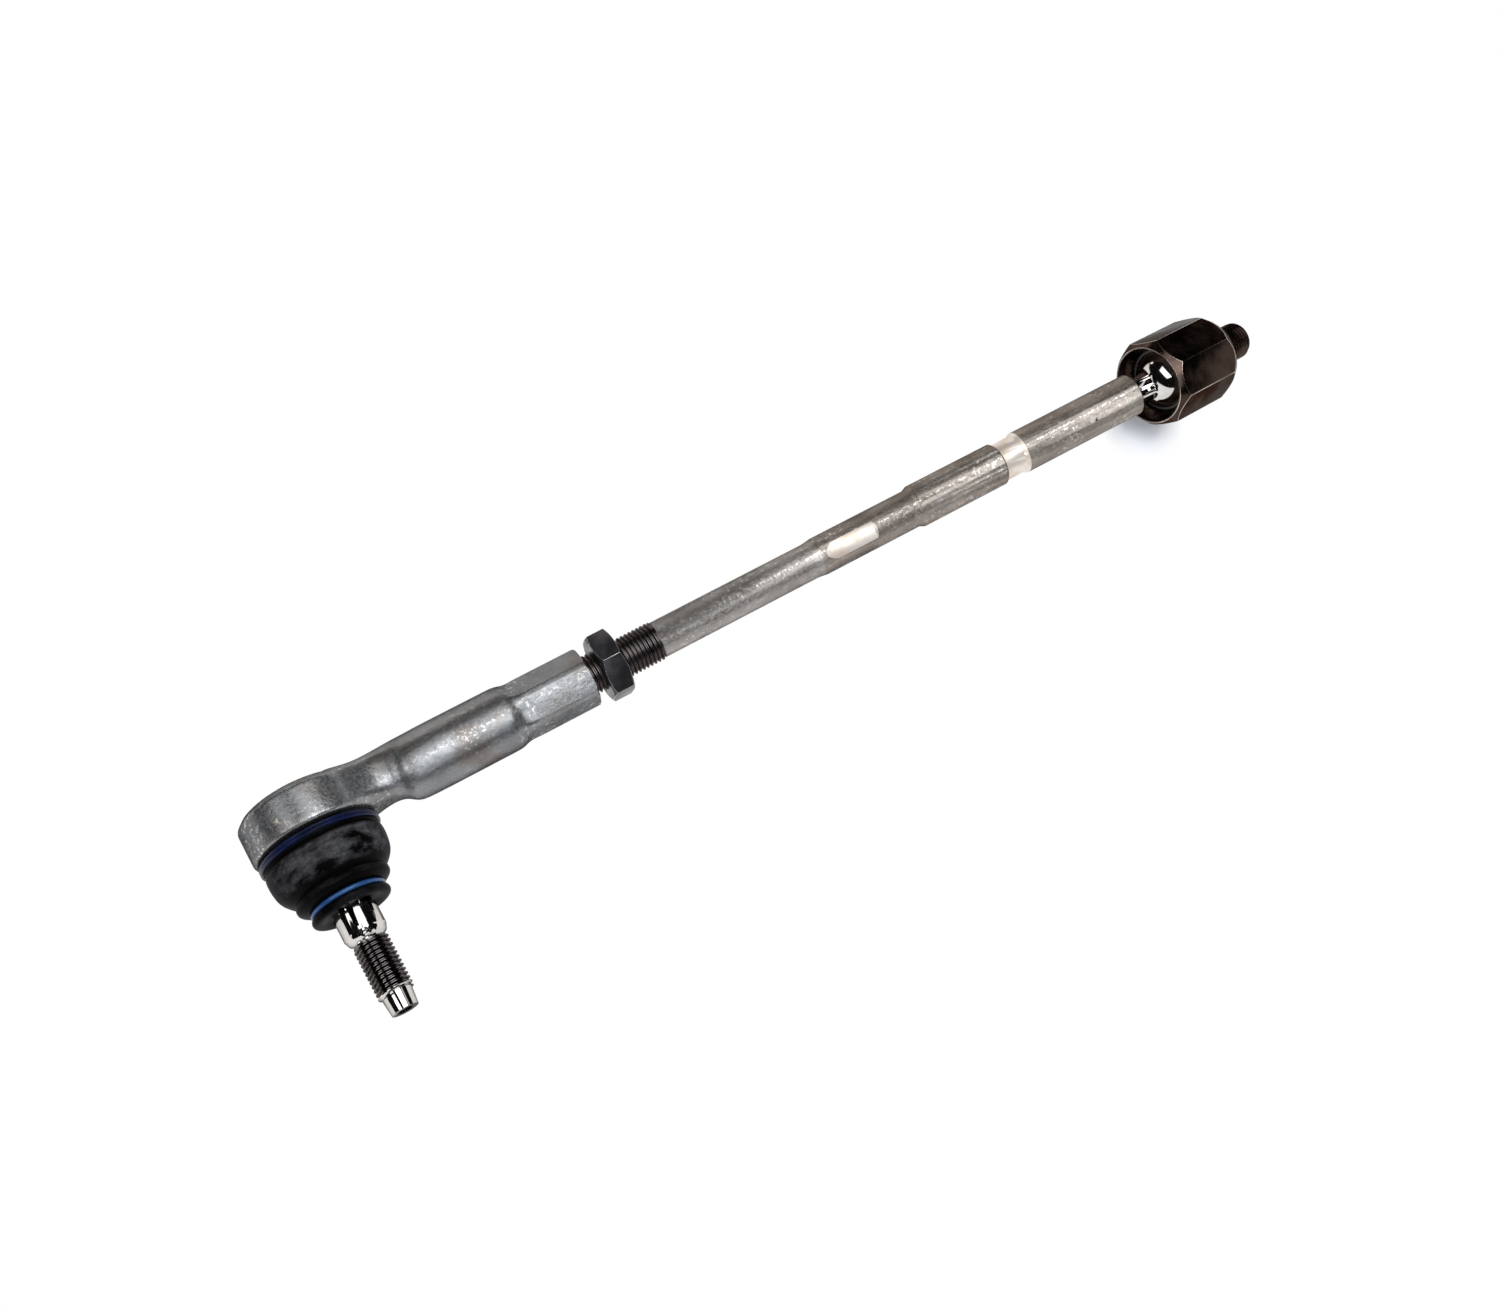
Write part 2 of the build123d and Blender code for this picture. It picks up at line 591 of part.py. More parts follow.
# The outer end and the rod are turned about the rod's axis as they come to rest, so that the stud dips, and the
# housing is swung about the inner ball
DIP = Rotation(STUD_DIP, 0, 0)
TURN = Rotation(ROLL, 0, 0)
BEND = TURN * Rotation(0, 0, HOUSING_YAW) * Rotation(0, HOUSING_PITCH, 0)
SWING = Pos(INNER_BALL_AT, 0, 0) * BEND

pieces = {
    "tie_rod_shaft": TURN * tie_rod_shaft(),
    "locknut": TURN * locknut(),
    "outer_end_body": DIP * outer_end_body(),
    "outer_cover_plate": DIP * outer_cover_plate(),
    "outer_ball_seat": DIP * outer_ball_seat(),
    "ball_stud": DIP * ball_stud(),
    "dust_boot": DIP * dust_boot(),
    "boot_ring_large": DIP * boot_ring_large(),
    "boot_ring_small": DIP * boot_ring_small(),
    "inner_ball_seat": SWING * inner_ball_seat(),
    "inner_housing": SWING * inner_housing(),
}

# The rod's two ends are not equally thick, so the whole part leans by a small angle until both touch
outer_height = -min(pieces[name].bounding_box().min.Z for name in ("outer_end_body", "dust_boot"))
inner_height = -pieces["inner_housing"].bounding_box().min.Z
LEAN = Rotation(0, degrees(asin((outer_height - inner_height) / INNER_BALL_AT)), 0)
leaning = {name: LEAN * piece for name, piece in pieces.items()}
box = Compound(list(leaning.values())).bounding_box()
TO_ORIGIN = Pos(-(box.min.X + box.max.X) / 2, -(box.min.Y + box.max.Y) / 2, -box.min.Z)

os.makedirs("parts", exist_ok=True)
for name, piece in leaning.items():
    export_step(TO_ORIGIN * piece, f"parts/{name}.step")
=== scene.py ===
import json
import math
import bpy
from mathutils import Matrix, Vector


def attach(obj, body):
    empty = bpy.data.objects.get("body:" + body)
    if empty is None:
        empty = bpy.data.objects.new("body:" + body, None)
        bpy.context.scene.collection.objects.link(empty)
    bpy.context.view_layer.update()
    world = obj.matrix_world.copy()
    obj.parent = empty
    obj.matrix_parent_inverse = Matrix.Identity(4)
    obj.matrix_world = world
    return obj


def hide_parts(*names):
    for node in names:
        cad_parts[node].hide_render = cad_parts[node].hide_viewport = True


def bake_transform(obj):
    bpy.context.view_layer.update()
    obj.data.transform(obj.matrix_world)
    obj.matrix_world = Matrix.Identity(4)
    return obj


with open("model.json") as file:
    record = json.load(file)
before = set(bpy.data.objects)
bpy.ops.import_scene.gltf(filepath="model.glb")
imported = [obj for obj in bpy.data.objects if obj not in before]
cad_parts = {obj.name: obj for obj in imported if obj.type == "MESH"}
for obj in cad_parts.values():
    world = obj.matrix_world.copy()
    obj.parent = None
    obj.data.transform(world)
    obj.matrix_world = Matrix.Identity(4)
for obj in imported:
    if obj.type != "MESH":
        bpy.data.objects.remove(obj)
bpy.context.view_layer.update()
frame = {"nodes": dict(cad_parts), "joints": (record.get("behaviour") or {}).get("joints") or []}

MM = 0.001

# Where the rod, the outer stud and the inner housing run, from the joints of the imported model
joints = {joint["name"]: joint for joint in frame["joints"]}
ball_centre = Vector(joints["outer_swivel"]["pos_m"])
stud_axis = Vector(joints["outer_swivel"]["axis"]).normalized()
rod_start = Vector(joints["outer_end_turn"]["pos_m"])
rod_axis = Vector(joints["outer_end_turn"]["axis"]).normalized()
inner_ball = Vector(joints["inner_tilt"]["pos_m"])
housing_axis = Vector(joints["housing_spin"]["axis"]).normalized()


def frame_at(origin, along, across):
    """A place whose Z runs along one direction and whose X is as near as it can be to another."""
    z = along.normalized()
    x = (across - z * across.dot(z)).normalized()
    return Matrix.Translation(origin) @ Matrix((x, z.cross(x), z)).transposed().to_4x4()


BALL_AT = 4.85 * MM     # the outer ball's centre, in front of the rod's axis
ROD = frame_at(rod_start, rod_axis, -stud_axis)
STUD = frame_at(ball_centre - stud_axis * BALL_AT, stud_axis, rod_axis)
HOUSING = frame_at(inner_ball, housing_axis, Vector((0, 1, 0)))

# The threads that are cut here: radius, and where each groove starts and ends along its own axis
ROD_THREAD = (7.0 * MM, 98 * MM, 129.5 * MM)
STUD_THREAD = (6.0 * MM, 44.8 * MM, 63.9 * MM)
HOUSING_THREAD = (7.0 * MM, 24.2 * MM, 40.5 * MM)
PITCH = 1.5 * MM
THREAD_DEPTH = 0.92 * MM
GROOVE_FLOOR_HALF = 0.10 * MM       # half the groove's width at its floor
GROOVE_MOUTH_HALF = 0.67 * MM       # half the groove's width at its mouth
GROOVE_OVERCUT = 0.06 * MM          # how far the cutter stands out of the thread
MERGE_COPY = 0.002 * MM             # vertices of a solid's mesh that are closer than this are one
MERGE_NEW = 0.0005 * MM             # the same for pieces made here


# Helpers

def deselect():
    if bpy.context.object and bpy.context.object.mode != "OBJECT":
        bpy.ops.object.mode_set(mode="OBJECT")
    bpy.ops.object.select_all(action="DESELECT")


def only(piece):
    deselect()
    piece.select_set(True)
    bpy.context.view_layer.objects.active = piece


def apply_modifiers(piece):
    only(piece)
    for modifier in list(piece.modifiers):
        bpy.ops.object.modifier_apply(modifier=modifier.name)


def named(piece, name):
    piece.name = name
    piece.data.name = name
    return piece


def put(piece, place):
    """Carries a piece modelled about Z to its place and leaves its object at the origin."""
    piece.data.transform(place @ piece.matrix_world)
    piece.matrix_world = Matrix.Identity(4)
    piece.data.update()


def own_copy(node, name):
    """A copy of a solid's mesh, merged, with its flat faces whole again."""
    source = frame["nodes"][node]
    piece = bpy.data.objects.new(name, source.data.copy())
    bpy.context.scene.collection.objects.link(piece)
    only(piece)
    bpy.ops.object.mode_set(mode="EDIT")
    bpy.ops.mesh.select_all(action="SELECT")
    bpy.ops.mesh.remove_doubles(threshold=MERGE_COPY)
    bpy.ops.mesh.dissolve_limited(angle_limit=math.radians(0.3))
    bpy.ops.object.mode_set(mode="OBJECT")
    piece.data.materials.clear()
    return named(piece, name)


def soften_edges(piece, width, angle=25, segments=2, material=-1):
    """Rounds the sharp edges of a piece."""
    bevel = piece.modifiers.new("edges", "BEVEL")
    bevel.width = width
    bevel.segments = segments
    bevel.limit_method = "ANGLE"
    bevel.angle_limit = math.radians(angle)
    bevel.harden_normals = False
    bevel.material = material
    bevel.miter_outer = "MITER_ARC"
    apply_modifiers(piece)


def smooth(piece, angle):
    only(piece)
    bpy.ops.object.shade_smooth_by_angle(angle=math.radians(angle))


def cut(piece, cutter):
    """Takes one closed piece out of another."""
    take = piece.modifiers.new("cut", "BOOLEAN")
    take.operation = "DIFFERENCE"
    take.solver = "EXACT"
    take.object = cutter
    apply_modifiers(piece)
    bpy.data.objects.remove(cutter)


def thread_groove(place, radius, start, end):
    """The helical groove of a thread between two stations of a place, as a closed piece to cut with."""
    deselect()
    bpy.ops.mesh.primitive_plane_add(size=1, rotation=(math.pi / 2, 0, 0))
    groove = bpy.context.object
    bpy.ops.object.transform_apply(location=False, rotation=True, scale=True)
    for corner in groove.data.vertices:
        outside = corner.co.x > 0
        reach = radius + GROOVE_OVERCUT if outside else radius - THREAD_DEPTH
        half = GROOVE_MOUTH_HALF if outside else GROOVE_FLOOR_HALF
        corner.co = Vector((reach, 0, half if corner.co.z > 0 else -half))
    turn = groove.modifiers.new("turn", "SCREW")
    turn.angle = 2 * math.pi
    turn.steps = turn.render_steps = 40
    turn.screw_offset = PITCH
    turn.iterations = max(1, round((end - start) / PITCH))
    turn.use_merge_vertices = False
    apply_modifiers(groove)
    only(groove)
    bpy.ops.object.mode_set(mode="EDIT")
    bpy.ops.mesh.select_all(action="SELECT")
    bpy.ops.mesh.remove_doubles(threshold=MERGE_NEW)
    bpy.ops.mesh.select_all(action="DESELECT")
    bpy.ops.mesh.select_non_manifold()
    bpy.ops.mesh.fill_holes(sides=8)
    bpy.ops.mesh.select_all(action="SELECT")
    bpy.ops.mesh.normals_make_consistent(inside=False)
    bpy.ops.object.mode_set(mode="OBJECT")
    put(groove, place @ Matrix.Translation((0, 0, start)))
    return groove


def lathe(name, outline, place, steps):
    """A closed round piece about Z from the outline of its half section: radius and height in millimetres."""
    deselect()
    bpy.ops.mesh.primitive_circle_add(vertices=len(outline), radius=1)
    piece = named(bpy.context.object, name)
    for corner, (r, height) in zip(piece.data.vertices, outline):
        corner.co = Vector((r * MM, 0, height * MM))
    bpy.ops.object.mode_set(mode="EDIT")
    bpy.ops.mesh.select_all(action="SELECT")
    bpy.ops.mesh.spin(steps=steps, angle=2 * math.pi, center=(0, 0, 0), axis=(0, 0, 1))
    bpy.ops.mesh.select_all(action="SELECT")
    bpy.ops.mesh.remove_doubles(threshold=MERGE_NEW)
    bpy.ops.mesh.normals_make_consistent(inside=False)
    bpy.ops.object.mode_set(mode="OBJECT")
    put(piece, place)
    return piece


def curve_through(points, steps):
    """Rounds an outline: more points on a smooth curve through the given ones."""
    made = []
    count = len(points)
    for i in range(count - 1):
        before, after = points[max(i - 1, 0)], points[min(i + 2, count - 1)]
        for step in range(steps):
            u = step / steps
            made.append(tuple(
                0.5 * (2 * b + (c - a) * u + (2 * a - 5 * b + 4 * c - d) * u * u
                       + (3 * b - a - 3 * c + d) * u ** 3)
                for a, b, c, d in zip(before, points[i], points[i + 1], after)))
    return made + [points[-1]]


def paint(piece, name, place, amount):
    """Writes one number for each vertex, from its station, radius and angle about a place's Z."""
    back = place.inverted()
    layer = piece.data.attributes.new(name, "FLOAT", "POINT")
    for vertex in piece.data.vertices:
        at = back @ vertex.co
        turned = math.atan2(at.y, at.x)
        layer.data[vertex.index].value = amount(at.z / MM, math.hypot(at.x, at.y) / MM, turned)


def by_place(piece, place, choose):
    """Gives each face the material that choose returns for its station, radius, middle and itself."""
    back = place.inverted()
    for face in piece.data.polygons:
        at = back @ face.center
        face.material_index = choose(at.z / MM, math.hypot(at.x, at.y) / MM, at, face)


def on_round(place, station, angle, radius):
    """A point at a station, an angle in degrees and a radius about a place's Z, in millimetres."""
    turned = math.radians(angle)
    return place @ Vector((radius * math.cos(turned) * MM, radius * math.sin(turned) * MM, station * MM))


# Materials

def effect(name, inputs, outputs):
    """A node group with its sockets: name, and the colour or number that each input starts at."""
    group = bpy.data.node_groups.new(name, "ShaderNodeTree")
    for socket, value in inputs.items():
        kind = "NodeSocketColor" if isinstance(value, tuple) else "NodeSocketFloat"
        made = group.interface.new_socket(socket, in_out="INPUT", socket_type=kind)
        made.default_value = value
    for socket, kind in outputs.items():
        group.interface.new_socket(socket, in_out="OUTPUT", socket_type=kind)
    return group, group.nodes.new("NodeGroupInput"), group.nodes.new("NodeGroupOutput")


def node(tree, kind, **settings):
    made = tree.nodes.new(kind)
    for key, value in settings.items():
        setattr(made, key, value)
    return made


def noise(tree, scale, detail, rough, stretch=None):
    """Noise on the piece's own coordinates, with its scale in cells per metre."""
    where = node(tree, "ShaderNodeTexCoord")
    spread = node(tree, "ShaderNodeMapping")
    if stretch:
        spread.inputs["Scale"].default_value = stretch
    made = node(tree, "ShaderNodeTexNoise")
    made.inputs["Scale"].default_value = scale
    made.inputs["Detail"].default_value = detail
    made.inputs["Roughness"].default_value = rough
    tree.links.new(where.outputs["Object"], spread.inputs["Vector"])
    tree.links.new(spread.outputs["Vector"], made.inputs["Vector"])
    return made.outputs["Fac"]


def between(tree, value, low, high, to_low=0.0, to_high=1.0):
    """How far a value is from low to high, as a number from to_low to to_high."""
    made = node(tree, "ShaderNodeMapRange", clamp=True)
    made.inputs["From Min"].default_value = low
    made.inputs["From Max"].default_value = high
    made.inputs["To Min"].default_value = to_low
    made.inputs["To Max"].default_value = to_high
    tree.links.new(value, made.inputs["Value"])
    return made.outputs["Result"]


def blend_colours(tree, factor, first, second):
    made = node(tree, "ShaderNodeMix", data_type="RGBA")
    for socket, value in ((made.inputs[0], factor), (made.inputs[6], first), (made.inputs[7], second)):
        if isinstance(value, (tuple, float)):
            socket.default_value = value
        else:
            tree.links.new(value, socket)
    return made.outputs[2]


def maths(tree, kind, first, second):
    made = node(tree, "ShaderNodeMath", operation=kind)
    for socket, value in ((made.inputs[0], first), (made.inputs[1], second)):
        if isinstance(value, (int, float)):
            socket.default_value = value
        else:
            tree.links.new(value, socket)
    return made.outputs[0]


PARTING_GLINT_ANGLE = math.radians(100)         # round the rod: where the forging dies met, and where the painted highlight specks run
PARTING_GLINT_ACROSS = Vector((-math.sin(PARTING_GLINT_ANGLE), math.cos(PARTING_GLINT_ANGLE), 0))
PARTING_GLINT_NORMAL = (ROD.to_3x3() @ PARTING_GLINT_ACROSS).normalized()
BRIGHT_SPECK = (0.88, 0.86, 0.83, 1)
SURFACE = {"Colour": "NodeSocketColor", "Roughness": "NodeSocketFloat", "Height": "NodeSocketFloat"}


def times(tree, first, second):
    return maths(tree, "MULTIPLY", first, second)


def near_parting_glint(group, width):
    """How near a point is to the dies' plane, where the painted highlight runs: 1 on it, 0 at the given
    distance from it.
    """
    where = node(group, "ShaderNodeTexCoord")
    aside = node(group, "ShaderNodeVectorMath", operation="DOT_PRODUCT")
    aside.inputs[1].default_value = tuple(PARTING_GLINT_NORMAL)
    group.links.new(where.outputs["Object"], aside.inputs[0])
    off_plane = maths(group, "SUBTRACT", aside.outputs["Value"], rod_start.dot(PARTING_GLINT_NORMAL))
    nearness = node(group, "ShaderNodeMapRange", clamp=True)
    nearness.inputs["From Min"].default_value = 0
    nearness.inputs["To Min"].default_value = 1
    nearness.inputs["To Max"].default_value = 0
    group.links.new(maths(group, "ABSOLUTE", off_plane, 0.0), nearness.inputs["Value"])
    group.links.new(width, nearness.inputs["From Max"])
    return nearness.outputs["Result"]


def gloss_by(group, given, value):
    """A group's Gloss and Dull, mixed by a value."""
    gloss = node(group, "ShaderNodeMix", data_type="FLOAT")
    group.links.new(value, gloss.inputs[0])
    group.links.new(given.outputs["Gloss"], gloss.inputs[2])
    group.links.new(given.outputs["Dull"], gloss.inputs[3])
    return gloss.outputs[0]


def forged_skin():
    """Shot-blasted forging skin: a mottled colour, brown tints, bright specks, uneven gloss and small dents.
    Along the plane where the dies met, broken bright specks are painted: partly ground flash, partly a painted
    highlight, as that plane runs where the highlight lies."""
    group, given, out = effect(
        "forged skin",
        {"Light": (0.4, 0.4, 0.4, 1), "Dark": (0.2, 0.2, 0.2, 1), "Stain": (0.2, 0.15, 0.12, 1),
         "Stained": 0.5, "Gloss": 0.35, "Dull": 0.5, "Specks": 0.5, "Parting Glint": 0.5, "Parting Glint Width": 0.001},
        SURFACE)
    broad = noise(group, 55, 5, 0.6)
    fine = noise(group, 1100, 4, 0.65)
    patches = noise(group, 75, 4, 0.55)
    worn = noise(group, 700, 3, 0.7)
    where_worn = noise(group, 45, 2, 0.5)
    ground = noise(group, 800, 4, 0.7)
    dents = noise(group, 480, 3, 0.55)

    mottle = maths(group, "ADD", times(group, broad, 0.55), times(group, fine, 0.45))
    colour = blend_colours(
        group, between(group, mottle, 0.41, 0.60), given.outputs["Dark"], given.outputs["Light"])
    stain = times(group, between(group, patches, 0.50, 0.66), given.outputs["Stained"])
    stained = blend_colours(group, stain, colour, given.outputs["Stain"])

    speck = times(group, between(group, worn, 0.56, 0.64), between(group, where_worn, 0.42, 0.6))
    speck = times(group, speck, given.outputs["Specks"])
    parting_glint = times(group, near_parting_glint(group, given.outputs["Parting Glint Width"]), given.outputs["Parting Glint"])
    parting_glint = times(group, parting_glint, between(group, ground, 0.52, 0.60))
    speck = maths(group, "MAXIMUM", speck, parting_glint)
    group.links.new(blend_colours(group, speck, stained, BRIGHT_SPECK), out.inputs["Colour"])

    gloss = gloss_by(group, given, between(group, fine, 0.38, 0.62))
    group.links.new(maths(group, "SUBTRACT", gloss, times(group, speck, 0.16)), out.inputs["Roughness"])
    pits = between(group, dents, 0.34, 0.54)
    height = maths(group, "ADD", times(group, pits, 0.8), times(group, fine, 0.5))
    group.links.new(height, out.inputs["Height"])
    return group


def fine_grain():
    """A close grain for plated, oiled and ground metal: a little tint, an uneven gloss and a faint height."""
    group, given, out = effect(
        "fine grain",
        {"Colour": (0.5, 0.5, 0.5, 1), "Tint": (0.4, 0.4, 0.4, 1), "Gloss": 0.2, "Dull": 0.3}, SURFACE)
    broad = noise(group, 140, 4, 0.6)
    fine = noise(group, 2400, 3, 0.5)
    tinted = blend_colours(
        group, between(group, broad, 0.4, 0.65), given.outputs["Colour"], given.outputs["Tint"])
    group.links.new(tinted, out.inputs["Colour"])
    group.links.new(gloss_by(group, given, between(group, broad, 0.35, 0.65)), out.inputs["Roughness"])
    group.links.new(fine, out.inputs["Height"])
    return group


FORGED = forged_skin()
GRAIN = fine_grain()


def mark(tree, colour, at, size, tone):
    """A small ragged spot of another tone round a point, about half as wide as its size in millimetres."""
    where = node(tree, "ShaderNodeTexCoord")
    apart = node(tree, "ShaderNodeVectorMath", operation="DISTANCE")
    apart.inputs[1].default_value = tuple(at)
    tree.links.new(where.outputs["Object"], apart.inputs[0])
    ragged = times(tree, noise(tree, 1500, 3, 0.7), 2.2 * size * MM)
    reach = maths(tree, "ADD", apart.outputs["Value"], ragged)
    inside = between(tree, reach, 1.3 * size * MM, 1.5 * size * MM, 1.0, 0.0)
    return blend_colours(tree, inside, colour, tone)


SKIN_DEPTH = 0.16 * MM      # how deep the dents of the forged skin look
GRAIN_DEPTH = 0.05 * MM     # how deep the fine grain looks


def finish_of(name, group, values, metallic=1.0, bump=0.1, bump_distance=GRAIN_DEPTH, rim=1.0, marks=()):
    """A material that takes its colour, gloss and height from a group, with its own values. Rim is how bright
    it stays where it is seen at a slant, and each mark is a place, a size in millimetres and a tone."""
    material = bpy.data.materials.new(name)
    material.use_nodes = True
    tree = material.node_tree
    shader = tree.nodes["Principled BSDF"]
    shader.inputs["Metallic"].default_value = metallic
    shader.inputs["Specular Tint"].default_value = (rim, rim, rim, 1)
    placed = node(tree, "ShaderNodeGroup")
    placed.node_tree = group
    for socket, value in values.items():
        placed.inputs[socket].default_value = value
    colour = placed.outputs["Colour"]
    for at, size, tone in marks:
        colour = mark(tree, colour, at, size, tone)
    tree.links.new(colour, shader.inputs["Base Color"])
    tree.links.new(placed.outputs["Roughness"], shader.inputs["Roughness"])
    if bump:
        raised = node(tree, "ShaderNodeBump")
        raised.inputs["Strength"].default_value = bump
        raised.inputs["Distance"].default_value = bump_distance
        tree.links.new(placed.outputs["Height"], raised.inputs["Height"])
        tree.links.new(raised.outputs["Normal"], shader.inputs["Normal"])
    return material


# Bright spots on the rod and the barrel, on the line where the highlight runs: partly scuffs, partly painted
# highlight
SCRAPE_AND_GLINT = (0.95, 0.93, 0.90, 1)
# A dark spot of painted shade, for a small pit on the shoulder
PIT_SHADE = (0.02, 0.018, 0.016, 1)
RUBBED = (0.70, 0.64, 0.55, 1)
rod_marks = (
    (on_round(ROD, 309.6, 125, 7.85), 1.6, PIT_SHADE),
    (on_round(ROD, 167.6, 103, 6.5), 1.2, SCRAPE_AND_GLINT),
    (on_round(ROD, 232.4, 102, 7.4), 1.3, SCRAPE_AND_GLINT),
)
end_marks = (
    (on_round(ROD, 74.1, 106, 11.0), 1.4, SCRAPE_AND_GLINT),
    (on_round(STUD, 1.9, 111.8, 20.8), 2.6, RUBBED),
)


def forged(name, light, dark, stain, stained, gloss, dull, parting_glint, parting_glint_width, metallic, bump, marks):
    """A forged steel in its own tones."""
    values = {"Light": light, "Dark": dark, "Stain": stain, "Stained": stained, "Gloss": gloss, "Dull": dull,
              "Specks": 0.6, "Parting Glint": parting_glint, "Parting Glint Width": parting_glint_width}
    return finish_of(name, FORGED, values, metallic, bump, SKIN_DEPTH, 0.0, marks)


def grained(name, colour, tint, gloss, dull, metallic=1.0, bump=0.1, rim=1.0):
    """A smooth metal, plastic or enamel with two tones and a gloss between two values."""
    values = {"Colour": colour, "Tint": tint, "Gloss": gloss, "Dull": dull}
    return finish_of(name, GRAIN, values, metallic, bump, rim=rim)


# The plain length between thread and flats gets a lighter, more neutral copy of the forged rod's tones than
# the rest of the rod: painted light and shade for how the lamps fall along it
rod_steel = forged(
    "forged rod", light=(0.405, 0.358, 0.322, 1), dark=(0.255, 0.222, 0.198, 1),
    stain=(0.18, 0.148, 0.122, 1), stained=0.5, gloss=0.34, dull=0.52, parting_glint=1.0, parting_glint_width=0.7 * MM,
    metallic=0.85, bump=0.45, marks=rod_marks)
lightened_plain_steel = forged(
    "plain length painted lighter", light=(0.485, 0.452, 0.428, 1), dark=(0.328, 0.301, 0.282, 1), stain=(0.22, 0.185, 0.16, 1),
    stained=0.5, gloss=0.34, dull=0.52, parting_glint=1.0, parting_glint_width=0.7 * MM, metallic=0.85, bump=0.45,
    marks=rod_marks)
end_steel = forged(
    "forged end", light=(0.34, 0.342, 0.35, 1), dark=(0.22, 0.222, 0.228, 1), stain=(0.19, 0.157, 0.132, 1),
    stained=0.6, gloss=0.30, dull=0.44, parting_glint=0.35, parting_glint_width=2.0 * MM, metallic=0.92, bump=0.26,
    marks=end_marks)

thread_steel = grained(
    "phosphated thread", (0.10, 0.092, 0.092, 1), (0.17, 0.14, 0.13, 1), 0.24, 0.38, rim=0.4)
turned_steel = grained(
    "turned steel", (0.90, 0.82, 0.75, 1), (0.74, 0.61, 0.50, 1), 0.38, 0.5, metallic=0.7, bump=0.15)
chrome = grained(
    "polished ball", (0.74, 0.72, 0.70, 1), (0.60, 0.57, 0.54, 1), 0.05, 0.10, bump=0.0, rim=0.12)
stud_thread = grained(
    "stud thread", (0.22, 0.205, 0.20, 1), (0.13, 0.12, 0.12, 1), 0.12, 0.22, bump=0.0, rim=0.3)
nut_finish = grained(
    "dark phosphate", (0.028, 0.027, 0.030, 1), (0.048, 0.046, 0.050, 1), 0.17, 0.30,
    metallic=0.5, bump=0.2, rim=0.5)
worn_edge = grained("worn edge", (0.80, 0.76, 0.75, 1), (0.40, 0.37, 0.36, 1), 0.2, 0.34)
housing_finish = grained(
    "oiled housing", (0.052, 0.034, 0.028, 1), (0.095, 0.067, 0.055, 1), 0.18, 0.32, bump=0.12, rim=0.4)
housing_edge = grained("housing edge", (0.66, 0.56, 0.49, 1), (0.22, 0.17, 0.14, 1), 0.2, 0.34)


BLACK_RUBBER = (0.0012, 0.0011, 0.0013, 1)
GREY_DUST = (0.08, 0.079, 0.084, 1)


def dusty_rubber():
    """Black rubber with streaks of grey dust where the piece's own dust attribute allows it."""
    material = bpy.data.materials.new("dusty rubber")
    material.use_nodes = True
    tree = material.node_tree
    shader = tree.nodes["Principled BSDF"]
    allowed = node(tree, "ShaderNodeAttribute", attribute_name="dust")
    streaks = noise(tree, 85, 6, 0.65, stretch=(1.0, 2.6, 1.6))
    specks = noise(tree, 900, 4, 0.7)
    amount = times(tree, between(tree, streaks, 0.42, 0.62), allowed.outputs["Fac"])
    mottled = times(tree, amount, between(tree, specks, 0.36, 0.60, 0.55, 1.0))
    tree.links.new(blend_colours(tree, mottled, BLACK_RUBBER, GREY_DUST), shader.inputs["Base Color"])
    tree.links.new(between(tree, amount, 0.0, 0.8, 0.42, 0.85), shader.inputs["Roughness"])
    shader.inputs["Specular IOR Level"].default_value = 0.03
    raised = node(tree, "ShaderNodeBump")
    raised.inputs["Strength"].default_value = 0.35
    raised.inputs["Distance"].default_value = 0.2 * MM
    tree.links.new(maths(tree, "ADD", streaks, times(tree, specks, 0.3)), raised.inputs["Height"])
    tree.links.new(raised.outputs["Normal"], shader.inputs["Normal"])
    return material


rubber = dusty_rubber()
navy_wire = grained(
    "navy wire", (0.001, 0.003, 0.016, 1), (0.003, 0.008, 0.048, 1), 0.3, 0.42,
    metallic=0.0, bump=0.05, rim=0.3)
blue_wire = grained(
    "blue wire", (0.012, 0.055, 0.17, 1), (0.02, 0.075, 0.21, 1), 0.25, 0.36, metallic=0.0, bump=0.05)
plate_finish = grained("plated cover", (0.42, 0.41, 0.40, 1), (0.34, 0.32, 0.31, 1), 0.25, 0.4)
seat_finish = grained(
    "seat plastic", (0.035, 0.032, 0.03, 1), (0.06, 0.055, 0.05, 1), 0.3, 0.42, metallic=0.0)


# The rod, with its thread cut and its machined places bright
# Stations along the rod, in millimetres from the cup's axis
THREAD_END = 129.2
PLAIN_END = 192.5
FLATS = (194.6, 216)
GROOVE = (270.4, 280)
SHOULDER_END = 331.2

GROOVE_R = 7.9          # the turned groove lies within this radius
FLATS_R = 7.1           # and the milled flats within this one
FLAT_AREA = 2e-6        # square metres: a flat is one face, larger than those of the round parts
BRIGHT_FLAT_AT = 114.4  # degrees round the rod: the flat facing the lamps, painted bright as a highlight

rod = own_copy("tie_rod_shaft", "rod")
cut(rod, thread_groove(ROD, *ROD_THREAD))
for material in (rod_steel, thread_steel, turned_steel, chrome, lightened_plain_steel):
    rod.data.materials.append(material)


def rod_finish(z, r, at, face):
    if z > SHOULDER_END:
        return 3
    if z < THREAD_END:
        return 1
    if GROOVE[0] < z < GROOVE[1] and r < GROOVE_R:
        return 2
    turned_to = math.degrees(math.atan2(at.y, at.x))
    # All the flats are milled, but only the one facing the lamps takes the bright turned steel, as a painted
    # highlight; the others keep the forged skin
    on_flats = face.area > FLAT_AREA and FLATS[0] < z < FLATS[1] and r < FLATS_R
    if on_flats and abs(turned_to - BRIGHT_FLAT_AT) < 20:
        return 2
    return 4 if z < PLAIN_END else 0


by_place(rod, ROD, rod_finish)
smooth(rod, 30)
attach(rod, "rod")
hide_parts("tie_rod_shaft")

